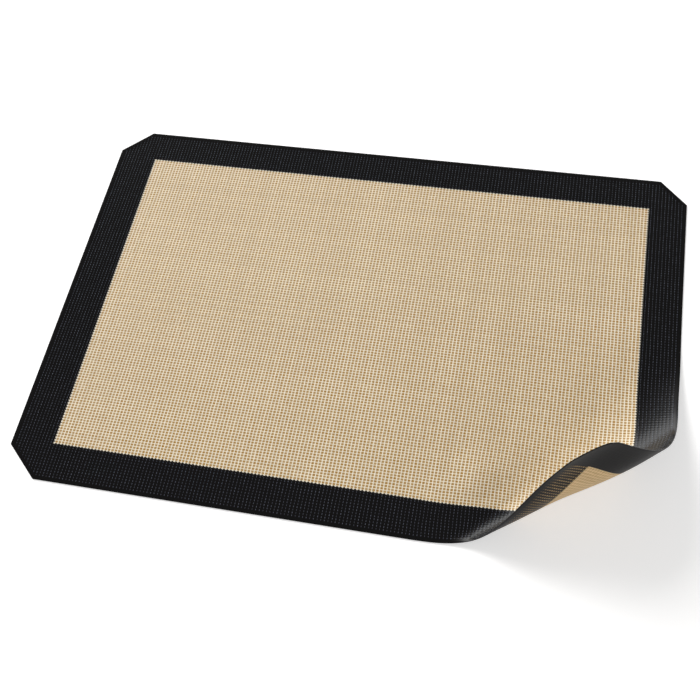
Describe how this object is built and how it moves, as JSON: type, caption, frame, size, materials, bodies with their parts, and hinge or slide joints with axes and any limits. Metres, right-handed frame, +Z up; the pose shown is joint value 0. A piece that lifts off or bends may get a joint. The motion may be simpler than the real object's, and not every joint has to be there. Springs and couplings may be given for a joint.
{
  "type": "silicone baking mat",
  "caption": "Rectangular silicone baking mat with a woven glass cloth core, a beige field inside a black border on both faces, cut corners and one corner that curls up.",
  "frame": {"origin": "middle of the underside, on the surface the mat lies on", "axes": "+X along the long side, +Y away from the near edge, +Z up out of the baking face"},
  "size_m": [0.4202, 0.2953, 0.0618],
  "materials": {
    "field_silicone": "satin beige silicone over an open weave",
    "field_under_silicone": "satin tan silicone over an open weave",
    "border_silicone": "semi-gloss black silicone with the weave showing",
    "border_under_silicone": "satin charcoal silicone",
    "glass_cloth": "plain woven glass yarn"
  },
  "bodies": {
    "sheet": {"glass_cloth_sheet": "glass_cloth", "field_top_sheet": "field_silicone", "field_under_sheet": "field_under_silicone", "border_top_sheet": "border_silicone", "border_under_sheet": "border_under_silicone"},
    "strip_1": {"glass_cloth_strip_1": "glass_cloth", "field_top_strip_1": "field_silicone", "field_under_strip_1": "field_under_silicone", "border_top_near_strip_1": "border_silicone", "border_top_right_strip_1": "border_silicone", "border_under_near_strip_1": "border_under_silicone", "border_under_right_strip_1": "border_under_silicone"},
    "strip_2": {"glass_cloth_strip_2": "glass_cloth", "field_top_strip_2": "field_silicone", "field_under_strip_2": "field_under_silicone", "border_top_near_strip_2": "border_silicone", "border_top_right_strip_2": "border_silicone", "border_under_near_strip_2": "border_under_silicone", "border_under_right_strip_2": "border_under_silicone"},
    "strip_3": {"glass_cloth_strip_3": "glass_cloth", "field_top_strip_3": "field_silicone", "field_under_strip_3": "field_under_silicone", "border_top_near_strip_3": "border_silicone", "border_top_right_strip_3": "border_silicone", "border_under_near_strip_3": "border_under_silicone", "border_under_right_strip_3": "border_under_silicone"},
    "strip_4": {"glass_cloth_strip_4": "glass_cloth", "field_top_strip_4": "field_silicone", "field_under_strip_4": "field_under_silicone", "border_top_near_strip_4": "border_silicone", "border_top_right_strip_4": "border_silicone", "border_under_near_strip_4": "border_under_silicone", "border_under_right_strip_4": "border_under_silicone"},
    "strip_5": {"glass_cloth_strip_5": "glass_cloth", "field_top_strip_5": "field_silicone", "field_under_strip_5": "field_under_silicone", "border_top_near_strip_5": "border_silicone", "border_top_right_strip_5": "border_silicone", "border_under_near_strip_5": "border_under_silicone", "border_under_right_strip_5": "border_under_silicone"},
    "tip": {"glass_cloth_tip": "glass_cloth", "field_top_tip": "field_silicone", "field_under_tip": "field_under_silicone", "border_top_tip": "border_silicone", "border_under_tip": "border_under_silicone"}
  },
  "joints": [
    {"name": "curl_bend_1", "type": "hinge", "parent": "sheet", "child": "strip_1", "pos_m": [0.14226, -0.08478, 0.0008], "axis": [-0.6184, -0.7858, 0], "range_deg": [-17.2, 5.16], "stiffness_Nm_per_rad": 0.03},
    {"name": "curl_bend_2", "type": "hinge", "parent": "strip_1", "child": "strip_2", "pos_m": [0.15244, -0.09429, 0.0051], "axis": [-0.7316, -0.6801, -0.0478], "range_deg": [-17.2, 5.16], "stiffness_Nm_per_rad": 0.03},
    {"name": "curl_bend_3", "type": "hinge", "parent": "strip_2", "child": "strip_3", "pos_m": [0.15627, -0.09915, 0.00926], "axis": [-0.7741, -0.6261, -0.0941], "range_deg": [-17.2, 5.16], "stiffness_Nm_per_rad": 0.03},
    {"name": "curl_bend_4", "type": "hinge", "parent": "strip_3", "child": "strip_4", "pos_m": [0.15854, -0.10332, 0.01501], "axis": [-0.7994, -0.5797, -0.1579], "range_deg": [-17.2, 5.16], "stiffness_Nm_per_rad": 0.03},
    {"name": "curl_bend_5", "type": "hinge", "parent": "strip_4", "child": "strip_5", "pos_m": [0.15906, -0.10641, 0.02177], "axis": [-0.8051, -0.5455, -0.233], "range_deg": [-17.2, 5.16], "stiffness_Nm_per_rad": 0.03},
    {"name": "curl_bend_6", "type": "hinge", "parent": "strip_5", "child": "tip", "pos_m": [0.15776, -0.10811, 0.02891], "axis": [-0.7907, -0.5266, -0.3124], "range_deg": [-17.2, 5.16], "stiffness_Nm_per_rad": 0.03}
  ]
}
